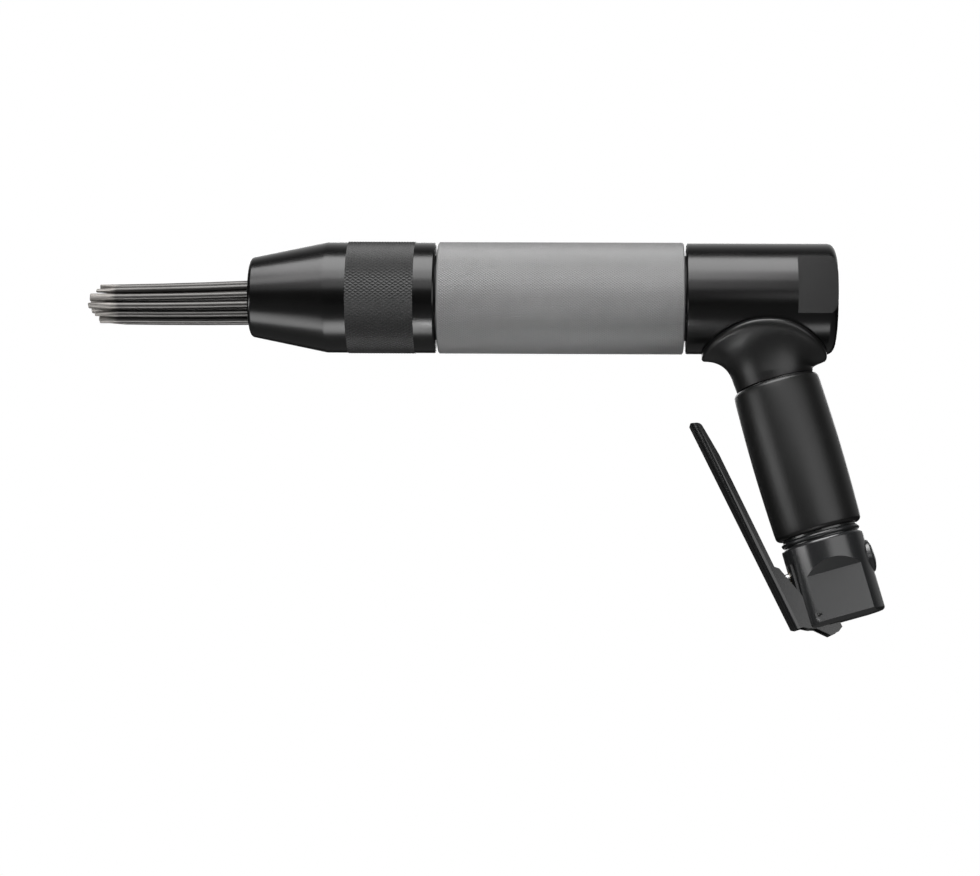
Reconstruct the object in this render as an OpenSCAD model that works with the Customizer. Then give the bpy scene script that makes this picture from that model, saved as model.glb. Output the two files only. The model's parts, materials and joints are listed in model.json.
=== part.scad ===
// Pistol-grip needle scaler driven by compressed air, laid out along the barrel.
// X runs along the barrel with the needles at -X, Z is up, and the origin is the
// middle of the grip sleeve on the barrel axis. All sizes are in millimetres.

/* [Barrel] */
// Outside diameter of the grip sleeve
sleeve_d = 50; // [49.6:0.2:52]
// Length of the grip sleeve
sleeve_len = 109.5; // [108:0.5:114]
// Wall of the grip sleeve
sleeve_wall = 3; // [2:0.25:3]
// Outside diameter of the nose tube and of the back head
head_d = 49.6; // [48.4:0.2:49.6]
// Outside diameter of the cylinder
cylinder_d = 38; // [37:0.5:39]
// Diameter of the piston
piston_d = 22; // [20:0.5:23]
// Length of the piston
piston_len = 45; // [40:1:46]
// Stroke of the piston
piston_stroke = 45; // [35:1:46]

/* [Nose] */
// Length of the nose tube
nose_len = 83.5; // [80:0.1:86]
// Diameter of the nose at its front face
nose_front_d = 36.2; // [34:0.2:38]
// Length of the tapered part, with the rounded front edge
nose_taper_len = 34.5; // [30:0.5:36]
// Diameter of the mouth that the needles pass through
mouth_d = 25.2; // [25:0.1:26]
// Length of the knurled band
knurl_len = 30.1; // [20:0.1:32]

/* [Needles] */
// Diameter of one needle
needle_d = 3; // [2.5:0.1:3]
// Distance of the longest tip from the middle of the sleeve
needle_reach = 211.9; // [200:0.1:220]
// Radius of the outer ring of needles in the holder
needle_ring_r = 9.4; // [9.3:0.1:9.6]
// Share of the ring radius that is left at the tips
needle_gather = 0.86; // [0.84:0.01:0.95]
// How far the tips hang below the barrel axis
needle_droop = 3.4; // [1:0.1:3.4]

/* [Back head] */
// Length of the back head
head_len = 67.9; // [66:0.1:70]
// Length of the wrench flats at the end of the head
flat_len = 19.4; // [14:0.2:21]
// Distance across the wrench flats
flat_across = 42; // [40:0.2:44]
// Turn of the wrench flats about the barrel
flat_turn = 7; // [0:0.5:8]

/* [Handle] */
// Where the handle axis meets the barrel axis
handle_x = 84.6; // [84:0.1:86]
// Lean of the handle, foot away from the needles
handle_tilt = 16; // [15:0.5:17]
// Diameter of the rubber grip at its middle
grip_d = 40; // [38.8:0.2:41]
// Diameter of the rubber grip at its ends
grip_end_d = 38.6; // [37:0.2:38.6]
// Length of the rubber grip
grip_len = 68.8; // [66:0.1:69]

/* [Valve body] */
// Diameter of the round valve body
body_d = 36.6; // [36:0.2:37.6]
// Length of the valve body along the handle
body_len = 36.7; // [36:0.1:38]
// Width over the side flats
body_flat_w = 27.4; // [26:0.2:30]
// Width over the two slots that take the cheeks of the lever
slot_w = 18.8; // [18.8:0.1:19.4]
// Pitch radius of the air inlet thread
inlet_r = 5.9; // [5:0.1:6]

/* [Lever] */
// Width of the lever channel
lever_w = 18; // [16:0.1:18]
// Sheet thickness of the lever
lever_sheet = 2; // [1.5:0.1:2]
// Depth of the channel
lever_depth = 4.9; // [4.5:0.1:6]
// Outside radius of the bends
lever_bend_r = 3; // [2.5:0.1:3]
// Diameter of the pivot pin
pin_d = 3.2; // [2.8:0.1:3.2]

/* [Hidden] */

// Fits and shared small sizes
run_fit = 0.05;
seat_fit = 0.02;
free_gap = 0.3;
over = 1;
round_fn = 96;
small_fn = 32;
arc_steps = 5;

// Stations along the barrel
joint_gap = 0.9;
sleeve_x = sleeve_len / 2;
nose_back_x = -sleeve_x - joint_gap;
nose_front_x = nose_back_x - nose_len;
head_front_x = sleeve_x + joint_gap;
head_back_x = head_front_x + head_len;
head_r = head_d / 2;
sleeve_r = sleeve_d / 2;
sleeve_bore_r = sleeve_r - sleeve_wall;
cylinder_r = cylinder_d / 2;
cylinder_front_x = nose_back_x - 14.1;
cylinder_rear_x = head_front_x + 24.1;

// Inside of the nose
nose_r = nose_front_d / 2;
nose_edge_r = 2;
chamber_r = 15.2;
mouth_x = nose_front_x + 11.2;
knurl_rise = 0.3;
knurl_back_x = nose_back_x - 9.3;
end_chamfer = 0.8;

// Needle pack and anvil
needle_r = needle_d / 2;
needle_hole_r = needle_r + 0.5;
needle_head_r = 2.25;
needle_head_len = 3.5;
inner_ring_r = needle_ring_r * 0.505;
holder_r = chamber_r - free_gap;
holder_front_x = cylinder_front_x - 24.5;
holder_len = 10;
holder_back_x = holder_front_x + holder_len;
needle_seat_x = holder_back_x + free_gap;
needle_drop = 0.1;
needle_fn = 24;
chisel_len = 9;
chisel_angle = 3.2;
tip_bow = 4.6;
tip_scatter = 1.6;
anvil_front_x = needle_seat_x + needle_head_len + 0.7;
anvil_flange_len = 6.7;
anvil_shank_r = 8;
anvil_back_x = cylinder_front_x + 34;
guide_back_x = cylinder_front_x + 28;
buffer_len = 3;
return_coil_r = 13.6;
return_wire_r = 1;
return_turns = 7;

// Piston, cylinder ports and plate valve
bore_r = piston_d / 2;
piston_front_x = anvil_back_x + 0.5;
valve_x = cylinder_rear_x - 20;
valve_r = 14;
valve_box_len = 10;
valve_port_r = 3;
plate_r = 7.5;
plate_len = 1.6;
plate_room = 2.9;
plate_rest_gap = 0.2;
dowel_r = 1.2;
dowel_ring_r = 11;
dowel_half = 7.5;
dowel_reach = dowel_half + 0.5;
passage_ring_r = 15.2;
passage_r = 1.6;
exhaust_x = piston_front_x + piston_len + piston_stroke / 4;
exhaust_r = 2.5;
gasket_len = 1;
ring_section_r = 0.65;

// Handle stations, measured down the handle axis from the barrel axis
tube_top_s = 20.5;
boss_r = 15;
boss_s = 34;
spigot_r = 11;
tube_r = 16;
air_r = 6;
collar_end_s = 39.5;
grip_top_s = collar_end_s + free_gap;
grip_foot_s = grip_top_s + grip_len;
body_top_s = 112.3;
body_foot_s = body_top_s + body_len;
tube_foot_s = body_top_s + 5.5;
tube_seal_s = [boss_s - 4, body_top_s + 2.5];

// Valve body details
body_r = body_d / 2;
body_half_w = body_flat_w / 2;
body_edge_r = 1.6;
flat_top_s = 127;
flat_slope = 41;
foot_chamfer = 1.8;
slot_top_s = 119.5;
slot_floor_t = -6;
slot_gap = 0.4;
rib_half_w = lever_w / 2 - lever_sheet - slot_gap;

// Throttle valve, along a line square to the handle; t is measured towards the back
throttle_s = 124.5;
throttle_bore_r = 5;
chamber_t = -6.4;
outlet_chamber_r = 4;
outlet_t = -3.4;
outlet_r = 2.8;
stem_r = 1.95;
stem_tip_t = -25.4;
stem_ring_r = 0.65;
bush_t = -17.9;
bush_r = 3.5;
bush_len = 3;
seat_t = 0.4;
seat_len = 3;
seat_hole_r = 3.2;
poppet_r = 4;
seal_t = seat_t + seat_len + 0.1;
seal_len = 1.2;
poppet_len = 2.2;
poppet_spigot_r = 1.8;
poppet_spigot_len = 2;
throttle_coil_r = 2.9;
throttle_wire_r = 0.4;
throttle_turns = 3;
plug_t = 13;
plug_head_r = 7.4;
plug_face_t = 16.6;
plug_rim_t = 18.5;
plug_top_t = 20.4;
plug_ring_r = 6;
plug_ring_section_r = 0.5;
inlet_t = 6.5;
inlet_lead = 1;
inlet_top_s = body_foot_s - inlet_lead - 13;
feed_t = 9.2;
feed_r = 2.6;
strainer_r = 4.7;

// Lever side view, as [t, s] pairs on the handle
lever_tip = [-41.8, 47.2];
lever_foot = [-23.6, 146.6];
lever_run = lever_foot - lever_tip;
lever_slope = atan2(lever_run[0], lever_run[1]);
level = [cos(handle_tilt), sin(handle_tilt)];
pivot = [-11.8, 144.1];
pivot_boss_r = 3.8;
cheek_rise = [-22.2, 119.8];
cheek_shoulder = [-15.4, 135.1];
tail_gap = 0.3;
tail_s = body_foot_s + tail_gap;

// Rubber saddle under the head
saddle_x = 91.5;
saddle_front_len = 28.6;
saddle_back_len = 26.9;
saddle_half_w = 21.5;
saddle_power = 2.4;
saddle_lip = 3.4;
saddle_edge = 1.2;
saddle_sunk = 3;
saddle_sides = 48;
saddle_steps = 7;
neck_r = 17.8;
neck_end_r = 17.25;

// Points on an arc round c, from angle a to angle b
function arc(c, r, a, b, steps = arc_steps) =
    [for (i = [0 : steps]) let (w = a + (b - a) * i / steps) c + r * [cos(w), sin(w)]];

// A profile of [radius, x] pairs turned about the barrel axis
module turned(profile) {
    rotate([0, 90, 0])
        rotate_extrude($fn = round_fn)
            polygon(profile);
}

// A round bar or drill along the barrel between two stations
module bar(x0, x1, r, fn = round_fn) {
    translate([x0, 0, 0])
        rotate([0, 90, 0])
            cylinder(h = x1 - x0, r = r, $fn = fn);
}

// A ring of round section about the barrel
module ring(x, ring_r, section_r) {
    translate([x, 0, 0])
        rotate([0, 90, 0])
            rotate_extrude($fn = round_fn)
                translate([ring_r, 0])
                    circle(r = section_r, $fn = small_fn);
}

// Places children on the handle: local x is t, local z is s
module on_handle() {
    translate([handle_x, 0, 0])
        rotate([180, -handle_tilt, 0])
            children();
}

// Places children on the throttle line: local z is t
module on_throttle() {
    on_handle()
        translate([0, 0, throttle_s])
            rotate([0, 90, 0])
                children();
}

// A profile of [radius, z] pairs turned about the local z axis
module spun(profile) {
    rotate_extrude($fn = round_fn)
        polygon(profile);
}

// A side view of [t, s] pairs given a width across the handle
module across(w) {
    rotate([90, 0, 0])
        linear_extrude(height = w, center = true)
            children();
}

// One unbroken wire wound round the local z axis
module coil(mean_r, wire_r, turns, length) {
    rings_per_turn = 12;
    sides = 6;
    count = turns * rings_per_turn;
    rise = (length - 2 * wire_r) / count;
    points = [for (i = [0 : count], j = [0 : sides - 1])
        let (a = 360 * i / rings_per_turn, b = 360 * j / sides, r = mean_r + wire_r * cos(b))
        [r * cos(a), r * sin(a), wire_r + i * rise + wire_r * sin(b)]];
    skin = [for (i = [0 : count - 1], j = [0 : sides - 1], k = [0 : 1])
        let (p = i * sides + j, q = i * sides + (j + 1) % sides)
        k == 0 ? [p, q, p + sides] : [q, q + sides, p + sides]];
    first_cap = [for (j = [1 : sides - 2]) [0, j + 1, j]];
    last_cap = [for (j = [1 : sides - 2]) [0, j, j + 1] + count * sides * [1, 1, 1]];
    polyhedron(points, concat(skin, first_cap, last_cap));
}

// Nose tube: tapered mouth, knurled band, spring chamber and the thread onto the cylinder
module nose_tube() {
    taper_end_x = nose_front_x + nose_taper_len;
    plain_r = head_r;
    color("#2a2b2d")
        turned(concat(
            [[mouth_d / 2, nose_front_x]],
            arc([nose_r - nose_edge_r, nose_front_x + nose_edge_r], nose_edge_r, -90, 0),
            [[plain_r, taper_end_x],
             [plain_r, knurl_back_x - knurl_len],
             [plain_r + knurl_rise, knurl_back_x - knurl_len + knurl_rise],
             [plain_r + knurl_rise, knurl_back_x - knurl_rise],
             [plain_r, knurl_back_x],
             [plain_r, nose_back_x - end_chamfer],
             [plain_r - end_chamfer, nose_back_x],
             [cylinder_r + run_fit, nose_back_x],
             [cylinder_r + run_fit, cylinder_front_x],
             [chamber_r, cylinder_front_x],
             [chamber_r, mouth_x],
             [mouth_d / 2, mouth_x]]));
}

// Centres of the needle holes: one in the middle, a ring of 6 and a ring of 12
needle_places = concat(
    [[0, 0]],
    [for (i = [0 : 5]) inner_ring_r * [cos(60 * i), sin(60 * i)]],
    [for (i = [0 : 11]) needle_ring_r * [cos(30 * i + 15), sin(30 * i + 15)]]);

// Disc that carries the needles and runs in the nose chamber
module needle_holder() {
    color("#8d8f91")
        difference() {
            turned([[0, holder_front_x],
                    [holder_r - end_chamfer, holder_front_x],
                    [holder_r, holder_front_x + end_chamfer],
                    [holder_r, holder_back_x - end_chamfer],
                    [holder_r - end_chamfer, holder_back_x],
                    [0, holder_back_x]]);
            for (p = needle_places)
                translate([0, p[0], p[1]])
                    bar(holder_front_x - over, holder_back_x + over, needle_hole_r, small_fn);
        }
}

// One needle: a headed wire with a chisel tip, along the local z axis
module needle(length, turn) {
    rotate([0, 0, turn])
        difference() {
            union() {
                cylinder(h = length, r = needle_r, $fn = needle_fn);
                translate([0, 0, -needle_head_len])
                    cylinder(h = needle_head_len, r = needle_head_r, $fn = needle_fn);
            }
            for (side = [0, 180])
                rotate([0, 0, side])
                    translate([needle_r, 0, length - chisel_len])
                        rotate([0, -chisel_angle, 0])
                            translate([0, -needle_d, 0])
                                cube([needle_d, 2 * needle_d, chisel_len + over]);
        }
}

// All needles, gathered a little towards the tips and hanging slightly
module needles() {
    span = needle_reach + needle_seat_x;
    golden_step = 0.618;
    tip_turn = 67;
    color("#b9bab8")
        for (i = [0 : len(needle_places) - 1]) {
            p = needle_places[i];
            scatter = i * golden_step - floor(i * golden_step);
            bow = tip_bow * pow(p[1] / needle_ring_r, 2);
            run = span - bow - tip_scatter * scatter;
            to = [-span, p[0] * (needle_gather - 1), p[1] * (needle_gather - 1) - needle_droop];
            translate([needle_seat_x, p[0], p[1] - needle_drop])
                rotate([0, acos(to[2] / norm(to)), atan2(to[1], to[0])])
                    needle(run, i * tip_turn);
        }
}

// Coil that pushes the needle holder back against the anvil
module return_spring() {
    color("#7d7f80")
        translate([mouth_x, 0, 0])
            rotate([0, 90, 0])
                coil(return_coil_r, return_wire_r, return_turns, holder_front_x - mouth_x);
}

// Anvil that takes the piston's blow and passes it to the needle heads
module anvil() {
    flange_r = chamber_r - 0.6;
    color("#9a9b9b")
        turned([[0, anvil_front_x],
                [flange_r - end_chamfer, anvil_front_x],
                [flange_r, anvil_front_x + end_chamfer],
                [flange_r, anvil_front_x + anvil_flange_len],
                [anvil_shank_r, anvil_front_x + anvil_flange_len],
                [anvil_shank_r, anvil_back_x - end_chamfer],
                [anvil_shank_r - end_chamfer, anvil_back_x],
                [0, anvil_back_x]]);
}

// Rubber ring that stops the anvil flange softly
module buffer_ring() {
    color("#26262a")
        turned([[anvil_shank_r + free_gap, cylinder_front_x - buffer_len],
                [chamber_r - 1, cylinder_front_x - buffer_len],
                [chamber_r - 0.6, cylinder_front_x - buffer_len / 2],
                [chamber_r - 1, cylinder_front_x],
                [anvil_shank_r + free_gap, cylinder_front_x]]);
}

// Steel cylinder with the anvil guide, the piston bore, its ports and the valve recess
module cylinder_solid() {
    seal_x = nose_back_x - 3;
    difference() {
        turned([[anvil_shank_r + run_fit, cylinder_front_x],
                [cylinder_r - end_chamfer, cylinder_front_x],
                [cylinder_r, cylinder_front_x + end_chamfer],
                [cylinder_r, seal_x - 2 * ring_section_r],
                [cylinder_r - 2 * ring_section_r, seal_x - 2 * ring_section_r],
                [cylinder_r - 2 * ring_section_r, seal_x + 2 * ring_section_r],
                [cylinder_r, seal_x + 2 * ring_section_r],
                [cylinder_r, cylinder_rear_x - end_chamfer],
                [cylinder_r - end_chamfer, cylinder_rear_x],
                [valve_r, cylinder_rear_x],
                [valve_r, valve_x],
                [bore_r, valve_x],
                [bore_r, guide_back_x],
                [anvil_shank_r + run_fit, guide_back_x]]);
        for (turn = [0 : 60 : 300])
            rotate([turn, 0, 0])
                translate([exhaust_x, 0, bore_r - over])
                    cylinder(h = cylinder_r, r = exhaust_r, $fn = small_fn);
        for (turn = [90, 270])
            rotate([turn, 0, 0]) {
                translate([0, 0, passage_ring_r])
                    bar(guide_back_x + passage_r, valve_x + over, passage_r, small_fn);
                translate([guide_back_x + 2 * passage_r, 0, bore_r - over])
                    cylinder(h = passage_ring_r - bore_r + over, r = passage_r, $fn = small_fn);
            }
    }
}

// The cylinder in its colour
module cylinder_node() {
    color("#85878a")
        cylinder_solid();
}

// Seal between the nose tube and the cylinder
module nose_o_ring() {
    color("#1c1c1e")
        ring(nose_back_x - 3, cylinder_r - ring_section_r + seat_fit, ring_section_r);
}

// Free piston with two oil grooves
module piston() {
    r = bore_r - run_fit;
    x1 = piston_front_x + piston_len;
    groove_depth = 0.6;
    groove_len = 1.5;
    groove_x = [piston_front_x + 8, x1 - 8 - groove_len];
    groove = [[0, 0], [-groove_depth, 0], [-groove_depth, groove_len], [0, groove_len]];
    color("#a7a8a8")
        turned(concat(
            [[0, piston_front_x], [r - 2, piston_front_x], [r, piston_front_x + 2]],
            [for (x = groove_x, p = groove)
                [r + p[0], x + p[1]]],
            [[r, x1 - end_chamfer], [r - end_chamfer, x1], [0, x1]]));
}

// Holes for the dowels that line up the valve box and its cover
module dowel_bars(r, x0, x1) {
    for (turn = [0, 180])
        rotate([turn, 0, 0])
            translate([0, 0, dowel_ring_r])
                bar(x0, x1, r, small_fn);
}

// Front half of the plate valve, with the room that the plate flutters in
module valve_box() {
    x1 = valve_x + valve_box_len;
    color("#8f8a80")
        difference() {
            turned([[valve_port_r, valve_x],
                    [valve_r - run_fit, valve_x],
                    [valve_r - run_fit, x1],
                    [plate_r + free_gap, x1],
                    [plate_r + free_gap, x1 - plate_room],
                    [valve_port_r, x1 - plate_room]]);
            dowel_bars(dowel_r + run_fit, x1 - dowel_reach, x1 + over);
        }
}

// Disc that flips between its two seats and sends the air to either end of the piston
module valve_plate() {
    x0 = valve_x + valve_box_len - plate_room + plate_rest_gap;
    hole_r = 1.5;
    color("#c3c4c4")
        turned([[hole_r, x0], [plate_r, x0], [plate_r, x0 + plate_len], [hole_r, x0 + plate_len]]);
}

// Rear half of the plate valve, with its feed holes
module valve_cover() {
    x0 = valve_x + valve_box_len;
    feed_ring_r = 6;
    feed_hole_r = 1.4;
    color("#8f8a80")
        difference() {
            turned([[valve_port_r, x0],
                    [valve_r - run_fit, x0],
                    [valve_r - run_fit, cylinder_rear_x],
                    [valve_port_r, cylinder_rear_x]]);
            dowel_bars(dowel_r + run_fit, x0 - over, x0 + dowel_reach);
            for (turn = [30 : 60 : 330])
                rotate([turn, 0, 0])
                    translate([0, 0, feed_ring_r])
                        bar(x0 - over, cylinder_rear_x + over, feed_hole_r, small_fn);
        }
}

// Two dowels through the valve box and its cover
module valve_dowels() {
    color("#b0b1b2")
        dowel_bars(dowel_r, valve_x + valve_box_len - dowel_half, valve_x + valve_box_len + dowel_half);
}

// Flat gasket between the cylinder's end and the head
module head_gasket() {
    color("#3a2d24")
        turned([[valve_r + 0.5, cylinder_rear_x],
                [cylinder_r - 0.5, cylinder_rear_x],
                [cylinder_r - 0.5, cylinder_rear_x + gasket_len],
                [valve_r + 0.5, cylinder_rear_x + gasket_len]]);
}

// Knurled sleeve that the second hand holds; it floats on two rubber rings
module grip_sleeve() {
    color("#8b8c8e")
        turned([[sleeve_bore_r, -sleeve_x],
                [sleeve_r - end_chamfer, -sleeve_x],
                [sleeve_r, -sleeve_x + end_chamfer],
                [sleeve_r, sleeve_x - end_chamfer],
                [sleeve_r - end_chamfer, sleeve_x],
                [sleeve_bore_r, sleeve_x]]);
}

// Rubber ring between the cylinder and the sleeve
module isolator(x0, x1) {
    turned([[cylinder_r + seat_fit, x0],
            [sleeve_bore_r - seat_fit, x0],
            [sleeve_bore_r - seat_fit, x1],
            [cylinder_r + seat_fit, x1]]);
}

// Front ring, notched so that the spent air can leave at the front of the sleeve
module front_isolator() {
    notch_w = 6;
    color("#232326")
        difference() {
            isolator(-sleeve_x + 0.5, -sleeve_x + 8.5);
            for (turn = [22.5 : 45 : 337.5])
                rotate([turn, 0, 0])
                    translate([-sleeve_x, -notch_w / 2, cylinder_r + 1])
                        cube([sleeve_x / 4, notch_w, sleeve_wall + over]);
        }
}

module rear_isolator() {
    color("#232326")
        isolator(sleeve_x - 8.5, sleeve_x - 0.5);
}

// Back head: thread for the cylinder, air chamber, handle boss and wrench flats
module back_head() {
    corner_r = 4;
    dome = 1.5;
    cap_r = head_r - corner_r;
    cap_x = head_back_x - dome;
    color("#2a2b2d")
        difference() {
            union() {
                turned(concat(
                    [[0, head_front_x],
                     [head_r - end_chamfer, head_front_x],
                     [head_r, head_front_x + end_chamfer]],
                    arc([cap_r, cap_x - corner_r], corner_r, 0, 90),
                    [for (i = [1 : arc_steps])
                        let (w = 1 - i / arc_steps)
                        [cap_r * w, head_back_x - dome * w * w]]));
                on_handle()
                    cylinder(h = boss_s, r = boss_r, $fn = round_fn);
            }
            bar(head_front_x - over, cylinder_rear_x + gasket_len, cylinder_r + run_fit);
            bar(head_front_x, cylinder_rear_x + 18, 12);
            on_handle() {
                cylinder(h = boss_s, r = air_r, $fn = round_fn);
                translate([0, 0, tube_top_s])
                    cylinder(h = boss_s, r = spigot_r + run_fit, $fn = round_fn);
            }
            rotate([-flat_turn, 0, 0])
                for (side = [-1, 1])
                    translate([head_back_x - flat_len, side * (flat_across + head_d) / 2, 0])
                        translate([0, -head_r, -head_r])
                            cube([flat_len + over, head_d, head_d]);
        }
}

// Turned tube that joins the valve body to the head and carries the grip
module handle_tube() {
    groove_r = spigot_r - 2 * ring_section_r;
    color("#77797c")
        on_handle()
            difference() {
                spun([[air_r, tube_top_s],
                      [spigot_r - end_chamfer, tube_top_s],
                      [spigot_r, tube_top_s + end_chamfer],
                      [spigot_r, boss_s],
                      [tube_r, boss_s],
                      [tube_r, grip_foot_s],
                      [spigot_r, grip_foot_s],
                      [spigot_r, tube_foot_s - end_chamfer],
                      [spigot_r - end_chamfer, tube_foot_s],
                      [air_r, tube_foot_s]]);
                for (s = tube_seal_s)
                    translate([0, 0, s - 2 * ring_section_r])
                        difference() {
                            cylinder(h = 4 * ring_section_r, r = spigot_r + over, $fn = round_fn);
                            cylinder(h = 4 * ring_section_r, r = groove_r, $fn = round_fn);
                        }
            }
}

// Seals in the two grooves of the handle tube
module handle_tube_o_rings() {
    color("#1c1c1e")
        on_handle()
            for (s = tube_seal_s)
                translate([0, 0, s])
                    rotate_extrude($fn = round_fn)
                        translate([spigot_r - ring_section_r + seat_fit, 0])
                            circle(r = ring_section_r, $fn = small_fn);
}

// Signed power of a cosine or sine, for rounded-square outlines
function soft(v, power) = sign(v) * pow(abs(v), 2 / power);

// A value part of the way from a to b
function mix(a, b, v) = a + (b - a) * v;

// Plan outline of the saddle: a soft rectangle, a little longer to the front
function saddle_plan(w, inset) =
    let (reach = cos(w) > 0 ? saddle_back_len : saddle_front_len)
    [saddle_x + (reach - inset) * soft(cos(w), saddle_power),
     (saddle_half_w - inset) * soft(sin(w), saddle_power)];

// A point of that outline on a cylinder of radius r about the barrel
function on_barrel(p, r) =
    let (w = asin(p[1] / head_r))
    [p[0], r * sin(w), -r * cos(w)];

// A point of the round neck, at distance s down the handle
function on_neck(w, r, s) =
    [handle_x + s * sin(handle_tilt) + r * cos(w) * cos(handle_tilt),
     r * sin(w),
     -s * cos(handle_tilt) + r * cos(w) * sin(handle_tilt)];

// One curve of the saddle, from inside the head over the lip and down to the neck
function saddle_curve(w) =
    let (lip_r = head_r + saddle_lip,
         back = (1 + cos(w)) / 2,
         lip = on_barrel(saddle_plan(w, saddle_edge), lip_r),
         reach = on_barrel(saddle_plan(w, mix(9, 3, back)), lip_r + back),
         neck_s = mix(34.5, 38.3, back),
         pull = on_neck(w, neck_r, neck_s - mix(6, 2, back)),
         neck = on_neck(w, neck_r, neck_s))
    concat(
        [on_barrel(saddle_plan(w, 0), head_r - saddle_sunk),
         on_barrel(saddle_plan(w, 0), lip_r - saddle_edge),
         on_barrel(saddle_plan(w, saddle_edge / 3), lip_r - saddle_edge / 3)],
        [for (i = [0 : saddle_steps])
            let (v = i / saddle_steps, u = 1 - v)
            u * u * u * lip + 3 * u * u * v * reach + 3 * u * v * v * pull + v * v * v * neck],
        [on_neck(w, neck_end_r, collar_end_s)]);

// Rubber saddle that blends the round handle into the underside of the head
module handle_collar() {
    curves = [for (i = [0 : saddle_sides - 1]) saddle_curve(360 * i / saddle_sides)];
    rows = len(curves[0]);
    middle_top = [saddle_x, 0, saddle_sunk - head_r];
    middle_foot = on_neck(0, 0, collar_end_s);
    points = concat([for (c = curves, p = c) p], [middle_top, middle_foot]);
    top = saddle_sides * rows;
    skin = [for (i = [0 : saddle_sides - 1], j = [0 : rows - 2], k = [0 : 1])
        let (a = i * rows + j, b = ((i + 1) % saddle_sides) * rows + j)
        k == 0 ? [a, b, a + 1] : [b, b + 1, a + 1]];
    caps = [for (i = [0 : saddle_sides - 1], k = [0 : 1])
        let (a = i * rows, b = ((i + 1) % saddle_sides) * rows)
        k == 0 ? [top, b, a] : [top + 1, a + rows - 1, b + rows - 1]];
    color("#242426")
        difference() {
            polyhedron(points, concat(skin, caps));
            bar(0, head_back_x + over, head_r + seat_fit);
            on_handle() {
                cylinder(h = boss_s, r = boss_r + seat_fit, $fn = round_fn);
                translate([0, 0, boss_s - seat_fit])
                    cylinder(h = collar_end_s, r = tube_r + seat_fit, $fn = round_fn);
            }
        }
}

// Rubber grip, a little barrel shaped, with rounded ends
module handle_grip() {
    edge_r = 2.5;
    end_r = grip_end_d / 2;
    swell = (grip_d - grip_end_d) / 2;
    side = [for (i = [1 : 7])
        let (v = i / 8)
        [end_r + swell * sin(180 * v), grip_top_s + edge_r + (grip_len - 2 * edge_r) * v]];
    color("#29292b")
        on_handle()
            spun(concat(
                [[tube_r + seat_fit, grip_top_s]],
                arc([end_r - edge_r, grip_top_s + edge_r], edge_r, -90, 0),
                side,
                arc([end_r - edge_r, grip_foot_s - edge_r], edge_r, 0, 90),
                [[tube_r + seat_fit, grip_foot_s]]));
}

// Threaded ring that locks the valve body on the tube, with a bead round its middle
module lock_ring() {
    low_r = 16.5;
    bead_r = 17.6;
    bead_s = 110.7;
    bead_half = 1.2;
    end_gap = 0.1;
    s0 = grip_foot_s + end_gap;
    s1 = body_top_s - end_gap;
    color("#202123")
        on_handle()
            spun(concat(
                [[spigot_r + run_fit, s0], [low_r, s0], [low_r, bead_s - bead_half]],
                arc([bead_r - bead_half, bead_s], bead_half, -90, 90),
                [[low_r, bead_s + bead_half], [low_r, s1], [spigot_r + run_fit, s1]]));
}

// Round bar of the valve body with its two side flats, before it is drilled
module body_blank() {
    difference() {
        spun(concat(
            [[0, body_top_s]],
            arc([body_r - body_edge_r, body_top_s + body_edge_r], body_edge_r, -90, 0),
            arc([body_r - body_edge_r, body_foot_s - body_edge_r], body_edge_r, 0, 90),
            [[0, body_foot_s]]));
        for (side = [-1, 1])
            across_cut(side);
    }
}

// Side flat with its sloping run-out at the top and a chamfer at the foot
module across_cut(side) {
    mirror([0, side < 0 ? 1 : 0, 0])
        translate([-body_d, body_half_w, 0])
            rotate([90, 0, 90])
                linear_extrude(height = 2 * body_d)
                    polygon([
                        [0, flat_top_s],
                        [body_r * sin(flat_slope), flat_top_s - body_r * cos(flat_slope)],
                        [body_r, body_foot_s + over],
                        [-foot_chamfer - over, body_foot_s + over],
                        [0, body_foot_s - foot_chamfer]]);
}

// A hole down the handle at distance t from its axis
module down_hole(t, s0, s1, r, fn = round_fn) {
    translate([t, 0, s0])
        cylinder(h = s1 - s0, r = r, $fn = fn);
}

// A hole along the throttle line
module throttle_hole(t0, t1, r) {
    translate([0, 0, t0])
        cylinder(h = t1 - t0, r = r, $fn = round_fn);
}

// A round pin or hole across the handle at the lever pivot
module pivot_bar(length, r) {
    translate([pivot[0], 0, pivot[1]])
        rotate([90, 0, 0])
            cylinder(h = length, r = r, center = true, $fn = small_fn);
}

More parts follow.
